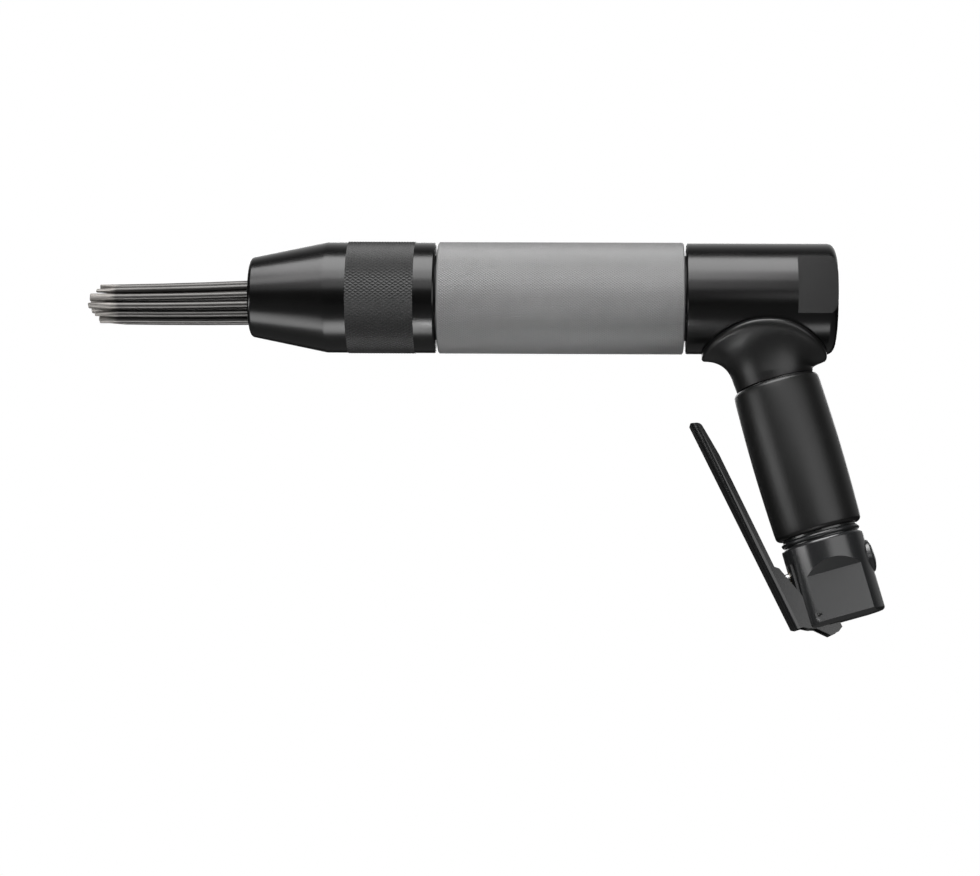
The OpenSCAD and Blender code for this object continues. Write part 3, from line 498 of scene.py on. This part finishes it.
bmesh.ops.recalc_face_normals(needles, faces=needles.faces[:])
show(needles, "needle_bundle", "needle_pack", "needle_steel", "needles")

# %% [markdown]
# The back head closes the barrel. It is a lathe job, so its outline is spun about the barrel.
# Two flats are milled on its end for a wrench, and they are made as a mill makes them: the
# round end is cut along the plane of each flat, and what stands outside the plane is brought
# down onto it. The spin starts on an edge of a flat and has 224 steps, so that every edge of
# a flat falls on an existing edge and no thin slivers are left. The edges then get a small
# bevel, because no real edge is perfectly sharp, and the thin highlight along it is what
# makes metal look like metal.


# %% Turn an outline and soften edges
def turned(profile, axes, steps=128):
    """Spins (station, radius) pairs; the outline closes on itself unless it ends on the axis."""
    origin, along, out = axes
    bm = bmesh.new()
    verts = [bm.verts.new(origin + (along * x + out * r) * MM) for x, r in profile]
    closed = min(r for _, r in profile) > 0
    pairs = list(zip(verts, verts[1:])) + ([(verts[-1], verts[0])] if closed else [])
    edges = [bm.edges.new(pair) for pair in pairs]
    bmesh.ops.spin(
        bm, geom=verts + edges, cent=origin, axis=along, angle=2 * pi, steps=steps, use_merge=True
    )
    bmesh.ops.remove_doubles(bm, verts=bm.verts[:], dist=WELD * MM)
    bmesh.ops.recalc_face_normals(bm, faces=bm.faces[:])
    return bm


def soften(bm, width, sharp, chosen=lambda p: True):
    """Bevels the edges sharper than an angle whose middle is chosen."""
    edges = [
        e
        for e in bm.edges
        if len(e.link_faces) == 2
        and e.calc_face_angle() > radians(sharp)
        and chosen((e.verts[0].co + e.verts[1].co) / 2)
    ]
    bmesh.ops.bevel(
        bm, geom=edges, offset=width * MM, offset_type="OFFSET", segments=2, profile=0.5,
        affect="EDGES", clamp_overlap=True, material=-1,
    )
    print(len(edges), "edges softened")


# %% Back head
# Where the flats start, half the distance across them, and how far they are turned
FLAT_X, FLAT_HALF, FLAT_TURN = 104.15, 21, radians(7)
# The shoulder of a flat lies between two rings of the outline that are FLAT_LINE apart
FLAT_LINE, FLAT_NEAR, HEAD_WELD, HEAD_STEPS = 0.02, 0.03, 0.005, 224
HEAD_ROUND, ROUND_X, SOFT_FROM, SOFT_TO = 4, 118.05, FLAT_X - 0.5, 118
PORT_END, PORT_R, POCKET_END = 97.75, 12, 80.75
HEAD_BORE = [(PORT_END, 0), (PORT_END, PORT_R), (POCKET_END, PORT_R)]
HEAD_BORE += [(POCKET_END, SOCKET_R), (END_X, SOCKET_R)]
HEAD_RIM = [(END_X, 24), (END_X + 0.25, 24.5), (END_X + 0.8, BARREL_R)]
HEAD_DOME = [(122.7, 15.6), (123.2, 9), (123.5, 4), (123.55, 0)]
edge_turn = acos(FLAT_HALF / BARREL_R) + FLAT_TURN
flat_edge_out = Vector((0, -cos(edge_turn), sin(edge_turn)))
head = turned(
    HEAD_BORE + HEAD_RIM + [(FLAT_X, BARREL_R), (FLAT_X + FLAT_LINE, BARREL_R)]
    + arc(ROUND_X, BARREL_R - HEAD_ROUND, HEAD_ROUND, 90, 0, 8) + HEAD_DOME,
    (ORIGIN, X, flat_edge_out), steps=HEAD_STEPS,
)
for side in (1, -1):
    facing = Vector((0, -cos(FLAT_TURN), sin(FLAT_TURN))) * side
    end = [f for f in head.faces if f.calc_center_median().x > (FLAT_X + FLAT_LINE / 4) * MM]
    end_parts = dict.fromkeys(part for f in end for part in (*f.verts, *f.edges, f))
    bmesh.ops.bisect_plane(
        head, geom=list(end_parts), dist=FLAT_NEAR * MM, plane_co=facing * FLAT_HALF * MM,
        plane_no=facing,
    )
    for v in head.verts:
        proud = v.co.dot(facing) - FLAT_HALF * MM
        if v.co.x > (FLAT_X + FLAT_LINE / 2) * MM and proud > 0:
            v.co -= facing * proud
bmesh.ops.remove_doubles(head, verts=head.verts[:], dist=HEAD_WELD * MM)
bmesh.ops.recalc_face_normals(head, faces=head.faces[:])
soften(head, width=0.7, sharp=20, chosen=lambda p: SOFT_FROM < p.x / MM < SOFT_TO)
show(head, "back_head_milled", "tool_body", "black_anodised", "back_head")

# %% [markdown]
# The grip is a rubber tube, a little fuller at its middle. The lock ring below it is turned
# metal with a bead. Both are round, so both are spun about the handle's axis, and the leaning
# axis does the rest.

# %% Grip and lock ring
GRIP_TOP, GRIP_FOOT, GRIP_R, GRIP_BORE = 39.8, 108.6, 19.3, 16.02
GRIP_ROUND, SWELL, SWELL_STEPS = 2.3, 0.7, 16
RING_TOP, RING_FOOT, RING_R, RING_BORE = 108.7, 112.2, 16.5, 11.05
BEAD_S, BEAD_OUT, BEAD_R = 110.7, 16.4, 1.2
shares = [i / SWELL_STEPS for i in range(1, SWELL_STEPS)]
swell = [(GRIP_TOP + (GRIP_FOOT - GRIP_TOP) * f, GRIP_R + SWELL * sin(pi * f)) for f in shares]
grip = turned(
    [(GRIP_TOP, GRIP_BORE)]
    + arc(GRIP_TOP + GRIP_ROUND, GRIP_R - GRIP_ROUND, GRIP_ROUND, 180, 100) + swell
    + arc(GRIP_FOOT - GRIP_ROUND, GRIP_R - GRIP_ROUND, GRIP_ROUND, 80, 0)
    + [(GRIP_FOOT, GRIP_BORE)],
    HANDLE,
)
show(grip, "grip_moulded", "tool_body", "grip_rubber", "handle_grip")

ring = turned(
    [(RING_TOP, RING_BORE), (RING_TOP, RING_R), (BEAD_S - BEAD_R, RING_R)]
    + arc(BEAD_S, BEAD_OUT, BEAD_R, 170, 10, 10)
    + [(BEAD_S + BEAD_R, RING_R), (RING_FOOT, RING_R), (RING_FOOT, RING_BORE)],
    HANDLE,
)
show(ring, "lock_ring_turned", "tool_body", "valve_black", "lock_ring")

# %% [markdown]
# The saddle is a moulded rubber boot. Its upper rim follows the round underside of the head
# and its foot is the round neck of the handle. Bridging two loops would give straight flanks,
# so it is drawn out as the needles are: a circle goes through rows that are bent to their
# place, and the last row meets the first, so that the boot closes inside.

# %% Rows of the saddle
# The plan: its middle, its reach to the back and the front, half its width, how square it is
SADDLE_X, SADDLE_BACK, SADDLE_FRONT, SADDLE_HALF, SADDLE_SQUARE = 91.5, 26.9, 28.6, 21.5, 2.4
# Where the flank leaves the lip, then how far it is pulled in, which is less at the back
FLANK_INSET, FLANK_RISE, FLANK_IN, FLANK_IN_LESS = 1.2, 3.4, 9, 6
# The neck: its radius, where the flank meets it in front, how much lower behind, and the pull up
NECK_R, NECK_FRONT, NECK_LOWER, NECK_UP, NECK_UP_LESS = 17.8, 34.5, 3.8, 6, 4


def squared(v):
    """A sine or cosine pushed outwards, which turns a circle into a rounded rectangle."""
    return copysign(abs(v) ** (2 / SADDLE_SQUARE), v)


def rim_point(w, inset, rise):
    """A point of the saddle's plan, laid on a cylinder that is rise above the head."""
    reach = (SADDLE_BACK if cos(w) > 0 else SADDLE_FRONT) - inset
    x, y = SADDLE_X + reach * squared(cos(w)), (SADDLE_HALF - inset) * squared(sin(w))
    turn = asin(y / BARREL_R)
    return Vector((x, (BARREL_R + rise) * sin(turn), -(BARREL_R + rise) * cos(turn))) * MM


def neck_point(w, r, s):
    return on_handle(r * cos(w), r * sin(w), s)


def flank_point(w, v):
    """A point of the flank, which sweeps from the lip (v = 0) to the neck (v = 1)."""
    back = (1 + cos(w)) / 2
    s = NECK_FRONT + NECK_LOWER * back
    pulls = (
        rim_point(w, FLANK_INSET, FLANK_RISE),
        rim_point(w, FLANK_IN - FLANK_IN_LESS * back, FLANK_RISE + back),
        neck_point(w, NECK_R, s - NECK_UP + NECK_UP_LESS * back),
        neck_point(w, NECK_R, s),
    )
    weights = (1 - v) ** 3, 3 * v * (1 - v) ** 2, 3 * v**2 * (1 - v), v**3
    return sum((weight * pull for weight, pull in zip(weights, pulls)), Vector())


def row_of(point, *where):
    return lambda w: point(w, *where)


# %% Rubber saddle
SADDLE_SIDES, FLANK_ROWS, INSIDE, TOUCH = 96, 16, 6, 0.03
# Inset and rise of the lip's outer wall, then radius and place of the neck's foot
LIP = ((0.1, TOUCH), (0, 0.5), (0, 2.1), (0.15, 2.6), (0.5, 3.1))
NECK_FOOT = ((17.4, 39.1), (17, 39.5), (GRIP_BORE, 39.5), (GRIP_BORE, 34))
saddle_rows = [row_of(rim_point, *step) for step in LIP]
saddle_rows += [row_of(flank_point, i / FLANK_ROWS) for i in range(FLANK_ROWS + 1)]
saddle_rows += [row_of(neck_point, *step) for step in NECK_FOOT]
saddle_rows += [row_of(rim_point, INSIDE, TOUCH), saddle_rows[0]]
saddle = bmesh.new()
draw_ring(saddle, saddle_rows, SADDLE_SIDES)
bmesh.ops.remove_doubles(saddle, verts=saddle.verts[:], dist=WELD * MM)
bmesh.ops.recalc_face_normals(saddle, faces=saddle.faces[:])
show(saddle, "saddle_moulded", "tool_body", "grip_rubber", "handle_collar")

# %% [markdown]
# The valve body at the foot of the handle is milled from a block. It could be cut again from
# a cube, but the CAD already holds its faces exactly. So a copy of the CAD mesh is merged
# into clean faces, and its outer edges get a small radius.

# %% Valve body
NODE_WELD, NODE_FLAT = 0.002, radians(0.5)


def from_node(node):
    bm = bmesh.new()
    bm.from_mesh(frame["nodes"][node].data)
    bmesh.ops.remove_doubles(bm, verts=bm.verts[:], dist=NODE_WELD * MM)
    bmesh.ops.dissolve_limit(bm, angle_limit=NODE_FLAT, verts=bm.verts[:], edges=bm.edges[:])
    return bm


valve = from_node("valve_body")
soften(valve, width=0.35, sharp=30)
show(valve, "valve_body_milled", "tool_body", "valve_black", "valve_body")

# %% [markdown]
# The lever is sheet steel pressed into a channel. Its CAD mesh has wider rounds than the real
# one: at the corners of its end, and along the bends between its front and its flanges. Every
# point on such a round slides to a tighter round that touches the same two faces. That keeps
# the mesh whole, where a new bevel would need the sharp corner first.

# %% Lever rounds
# Both ends of the front face in the handle's frame, and half the width
LEVER_TOP, LEVER_TOP_T, LEVER_FOOT, LEVER_FOOT_T, LEVER_HALF = 47.2, -41.8, 146.6, -23.6, 9
# For each round: its CAD radius, the tighter one, and how near a point has to be to count
END_R, TIGHT_END, END_NEAR = 5, 1.5, 0.05
BEND_R, TIGHT_BEND, BEND_NEAR, LEVER_NEAR = 3, 1.5, 0.02, 0.01
LEVER_TIP = on_handle(LEVER_TOP_T, 0, LEVER_TOP)
LEVER_RUN = (on_handle(LEVER_FOOT_T, 0, LEVER_FOOT) - LEVER_TIP).normalized()
LEVER_BACK = Y.cross(LEVER_RUN) * -1


def lever_depth(p):
    """How far a point lies behind the front face of the lever."""
    return (p - LEVER_TIP).dot(LEVER_BACK) / MM


def round_drop(past, radius):
    """How far a round has dropped at a point that is past its start."""
    return radius - sqrt(max(radius**2 - max(past, 0) ** 2, 0))


lever = from_node("lever")
for v in lever.verts:
    side, down = abs(v.co.y) / MM, (v.co - HANDLE[0]).dot(DOWN) / MM - LEVER_TOP
    if abs(down - round_drop(side - LEVER_HALF + END_R, END_R)) < END_NEAR:
        wanted = round_drop(side - LEVER_HALF + TIGHT_END, TIGHT_END)
        v.co += DOWN * (wanted - down) * MM
    depth, side = BEND_R - lever_depth(v.co), abs(v.co.y) / MM - LEVER_HALF + BEND_R
    if min(depth, side) > -LEVER_NEAR and abs(sqrt(depth**2 + side**2) - BEND_R) < BEND_NEAR:
        less = 1 - TIGHT_BEND / BEND_R
        v.co.y *= 1 + less * (BEND_R - side) / (LEVER_HALF - BEND_R + side)
        v.co -= LEVER_BACK * less * (BEND_R - depth) * MM
print("lever", len(lever.verts), "points")

# %% [markdown]
# The tip of the lever is rounded off, so that it doesn't catch the hand. Seven planes that
# touch one circle cut it, each turned a little further, and each cut is filled again. The
# strip is first cut across below the tip, so that the planes reach no further than that.

# %% Lever tip
TIP_DEPTH, TIP_DROP, TIP_R, TIP_REACH, TIP_SLACK = 4.85, 0.35, 3, 25, 0.1
TIP_TURNS = (0, 0.17, 0.34, 0.51, 0.68, 0.84, 0.943)
tip_corner = LEVER_TIP + (X * TIP_DEPTH - Z * TIP_DROP) * MM
tip_centre = tip_corner - (Z + LEVER_BACK) * TIP_R * MM / (1 + Z.dot(LEVER_BACK))


def at_tip(part):
    runs = [(v.co - LEVER_TIP).dot(LEVER_RUN) for v in part.verts]
    return max(runs) < (TIP_REACH + TIP_SLACK) * MM


def cut_lever(geom, place, facing, **more):
    """Cuts part of the lever along a plane and returns the edges of the cut."""
    cut = bmesh.ops.bisect_plane(
        lever, geom=geom, dist=LEVER_NEAR * MM, plane_co=place, plane_no=facing, **more
    )
    return [part for part in cut["geom_cut"] if isinstance(part, bmesh.types.BMEdge)]


cut_lever(every_part(lever), LEVER_TIP + LEVER_RUN * TIP_REACH * MM, LEVER_RUN)
for share in TIP_TURNS:
    facing = Z.slerp(LEVER_BACK, share)
    tip_parts = [part for part in lever.edges[:] + lever.faces[:] if at_tip(part)]
    tip_parts += dict.fromkeys(v for part in tip_parts for v in part.verts)
    open_edges = cut_lever(tip_parts, tip_centre + facing * TIP_R * MM, facing, clear_outer=True)
    bmesh.ops.holes_fill(lever, edges=open_edges)
print("lever tip cut by", len(TIP_TURNS), "planes")

# %% [markdown]
# The press leaves a low step along both flanges, just behind the bend. It is cut in with two
# planes that follow the lever, and the outer skin behind them moves in. A bump could draw the
# line, but real faces also catch the light along it. Their edges stay hard in the shading.

# %% Lever step
# The depths behind the front face between which the skin moves in, and how far it moves
STEP_FROM, STEP_TO, STEP_IN, STEP_NEAR, SKIN = 1.75, 2.85, 0.23, 0.02, 0.1
for depth in (STEP_FROM, STEP_TO):
    cut_lever(every_part(lever), LEVER_TIP + LEVER_BACK * depth * MM, LEVER_BACK)
for v in lever.verts:
    depth, side = lever_depth(v.co), abs(v.co.y) / MM
    if depth > STEP_FROM - STEP_NEAR and side > LEVER_HALF - SKIN:
        share = min((depth - STEP_FROM) / (STEP_TO - STEP_FROM), 1)
        v.co.y *= (LEVER_HALF - STEP_IN * share) / side
soften(lever, width=0.25, sharp=30)
show(
    lever, "lever_pressed", "lever", "lever_black", "lever",
    hard=lambda p: STEP_FROM - STEP_NEAR < lever_depth(p) < STEP_TO + STEP_NEAR,
)

# %% [markdown]
# The air inlet in the foot has a pipe thread. A tap cuts it as one long groove, so it is
# made the same way: the section of one ridge is spun about the hole and moved down a little
# at every step. Its root is sunk in the wall of the hole, so no light shows between them.

# %% Inlet thread
PITCH, TURNS, TURN_STEPS, THREAD_TOP = 1.34, 9, 48, 135.4
INLET_T, INLET_R, RIDGE, SUNK = 6.5, 5.9, 0.5, 0.05
crest, root = INLET_R - RIDGE, INLET_R + SUNK
# Radius and height of the four corners of the ridge
section = [(root, 0), (crest, 0.45), (crest, 0.75), (root, 1.2)]
thread = bmesh.new()
corners = [thread.verts.new(on_handle(INLET_T + r, 0, THREAD_TOP + s)) for r, s in section]
ridge = thread.faces.new(corners)
bmesh.ops.spin(
    thread, geom=[ridge], cent=on_handle(INLET_T, 0, THREAD_TOP), axis=DOWN,
    dvec=DOWN * PITCH * MM / TURN_STEPS, angle=2 * pi * TURNS, steps=TURN_STEPS * TURNS,
)
bmesh.ops.remove_doubles(thread, verts=thread.verts[:], dist=WELD * MM)
bmesh.ops.recalc_face_normals(thread, faces=thread.faces[:])
show(thread, "inlet_thread", "tool_body", "valve_black")

# %% [markdown]
# Two coil springs are pressed together when the needles or the throttle move. Each keeps the
# CAD's coil as it is, merged into clean faces on a mesh of its own. A rigid coil can cut into
# the piece that presses on it.

# %% Springs
for node, joint, axis, fixed_end, travel in (
    ("return_spring", "needle_slide", X, min, 10),
    ("throttle_spring", "throttle_stroke", BACK, max, 2.9),
):
    coil = from_node(node)
    reach = [v.co.dot(axis) for v in coil.verts]
    spring = show(coil, node + "_coil", "tool_body", "spring_steel", node)
    axis * fixed_end(reach)
    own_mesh(spring)

# %% [markdown]
# The studio starts with a pale floor well below the tool. A plain sheet of paper would turn
# grey away from the lights, so to the camera the floor is mostly a pale glow. What the tool
# mirrors is the plain paper.

# %% Floor
FLOOR_R, FLOOR_Z, PALE, PALE_SHARE = 5, -2.2, 0.9, 0.9
floor = bmesh.new()
bmesh.ops.create_circle(floor, cap_ends=True, segments=96, radius=FLOOR_R)
floor_mesh = bpy.data.meshes.new("floor")
floor.to_mesh(floor_mesh)
floor.free()
floor_piece = bpy.data.objects.new("floor", floor_mesh)
floor_piece.location.z = FLOOR_Z
bpy.context.scene.collection.objects.link(floor_piece)
paper = finish(
    "floor_paper", dark=grey(0.44), light=grey(0.46), rough=(0.8, 0.9), cloud=3, grain=200
)
paper_nodes = paper.node_tree.nodes
sheet = Shade(paper.node_tree, paper_nodes["Principled BSDF"].outputs[0])
glow = sheet.node("Emission", sockets={"Color": (1, 1, 1, 1), "Strength": PALE})
to_camera = sheet.node("LightPath", out="Is Camera Ray") * PALE_SHARE
mixed = sheet.node("MixShader", sockets={0: to_camera, 1: sheet, 2: glow})
paper.node_tree.links.new(mixed.socket, paper_nodes["Material Output"].inputs["Surface"])
floor_mesh.materials.append(paper)
print("floor", 2 * FLOOR_R, "m wide")

# %% [markdown]
# The background is white to the camera. Mirrors see it only where it stands, behind the tool
# and above the floor, and the room in front of the tool stays dark. One bright world would be
# simpler, but black metal would then turn grey all over. Everything else gets a weak fill.

# %% World
FILL, MIRRORED = 0.22, 0.02
BEHIND_FROM, BEHIND_FULL, ABOVE_FROM, ABOVE_FULL = 0.2, 1.0, 0.06, 0.45
world = bpy.data.worlds.new("studio")
world.use_nodes = True
bpy.context.scene.world = world
sky = Shade(world.node_tree)
path = sky.node("LightPath", out="Is Camera Ray")
seen = sky.math("MAXIMUM", path, path.out("Is Transmission Ray"))
look = sky.node("SeparateXYZ", sockets={"Vector": sky.node("TexCoord", out="Generated")})
behind = sky.node(
    "MapRange",
    sockets={"Value": look.out("Y"), "From Min": BEHIND_FROM, "From Max": BEHIND_FULL},
)
above = sky.node(
    "MapRange", sockets={"Value": look.out("Z"), "From Min": ABOVE_FROM, "From Max": ABOVE_FULL}
)
backdrop = MIRRORED + (1 - MIRRORED) * (behind * above)
strength = FILL + (1 - FILL) * seen + (backdrop - FILL) * path.out("Is Glossy Ray")
background = world.node_tree.nodes["Background"]
background.inputs["Color"].default_value = (1, 1, 1, 1)
world.node_tree.links.new(strength.socket, background.inputs["Strength"])
print("world", len(world.node_tree.nodes), "nodes")

# %% [markdown]
# On black metal the eye sees the lights, not the metal. So each light is a soft box with a
# chosen brightness, and its power follows from its size. Long boxes above and in front draw
# the bands along the barrel. Small ones below draw the thin band under it, and a narrow
# spread keeps most of them on their own piece. Those at the sides draw the bands down the
# handle, and one behind serves the views from there. A single lamp would leave most of the
# tool black.


# %% Lights
def soft_light(name, place, target, size, brightness, spread):
    """A rectangular light that the camera can't see; spread is in degrees."""
    lamp = bpy.data.lights.new(name, "AREA")
    lamp.spread = radians(spread)
    lamp.shape, lamp.size, lamp.size_y = "RECTANGLE", size[0], size[1]
    lamp.energy = brightness * pi * size[0] * size[1]
    made = bpy.data.objects.new(name, lamp)
    made.location = place
    made.rotation_euler = (Vector(target) - Vector(place)).to_track_quat("-Z", "Y").to_euler()
    made.visible_camera = False
    bpy.context.scene.collection.objects.link(made)


def toward(turn, rise, distance):
    """A step from the tool: turn to the right of the camera, rise above the level."""
    turn, rise = radians(turn), radians(rise)
    return Vector((sin(turn) * cos(rise), -cos(turn) * cos(rise), sin(rise))) * distance


WIDE = 180
MIDDLE, GRIP_MIDDLE = Vector((-0.02, 0, -0.02)), Vector((0.105, 0, -0.085))
TOP, FRONT = MIDDLE - X * 0.1, MIDDLE - X * 0.28
# Name, place, target, size, brightness, spread
LIGHTS = (
    ("top", TOP + toward(0, 65, 0.95), TOP, (1.0, 0.6), 6.3, WIDE),
    ("upper front", FRONT + toward(0, 38, 1.05), FRONT, (1.0, 0.34), 4.4, WIDE),
    ("front", FRONT + toward(0, 18, 1.2), FRONT, (1.0, 0.36), 1.5, WIDE),
    ("below", (-0.16, -0.105, -0.385), (-0.16, 0, 0), (0.2, 0.2), 0.68, 60),
    ("below sleeve", (-0.03, -0.18, -0.36), (0.012, 0, 0), (0.1, 0.04), 0.9, 25),
    ("below nose", (-0.36, -0.105, -0.36), (-0.3, 0, 0), (0.2, 0.2), 1.1, 76),
    ("below right", (0.16, -0.14, -0.42), (0.12, 0, -0.02), (0.06, 0.12), 4.0, WIDE),
    ("left", GRIP_MIDDLE + toward(-70, -8, 0.9), GRIP_MIDDLE, (0.46, 0.14), 5.0, WIDE),
    ("right", GRIP_MIDDLE + toward(36, 6, 0.9), GRIP_MIDDLE, (0.82, 0.6), 1.4, WIDE),
    ("beside camera", (0.25, -1.1, -0.09), GRIP_MIDDLE, (0.16, 0.22), 1.6, WIDE),
    ("behind", MIDDLE + toward(180, 15, 1.2), MIDDLE, (1.3, 0.45), 2.8, WIDE),
)
for light in LIGHTS:
    soft_light(*light)
print(len(LIGHTS), "lights")

# %% [markdown]
# The photograph was taken from a little below the barrel, from about a metre away, with the
# camera turned by less than a degree. The distance sets how much larger the near parts look,
# and the lens only how large it all is.

# %% Camera
STAND, AIM = Vector((0.013, -1.109, -0.219)), Vector((-0.031, 0, -0.0634))
LENS_MM, SENSOR_MM, ROLL = 92.5, 36, radians(0.65)
lens = bpy.data.cameras.new("camera")
lens.lens, lens.sensor_width = LENS_MM, SENSOR_MM
camera = bpy.data.objects.new("camera", lens)
camera.location = STAND
camera.rotation_euler = (AIM - STAND).to_track_quat("-Z", "Y").to_euler()
camera.rotation_euler.rotate_axis("Z", ROLL)
bpy.context.scene.collection.objects.link(camera)
bpy.context.scene.camera = camera
bpy.context.scene.view_settings.view_transform = "Standard"
print("camera", round((AIM - STAND).length, 3), "m from what it looks at")
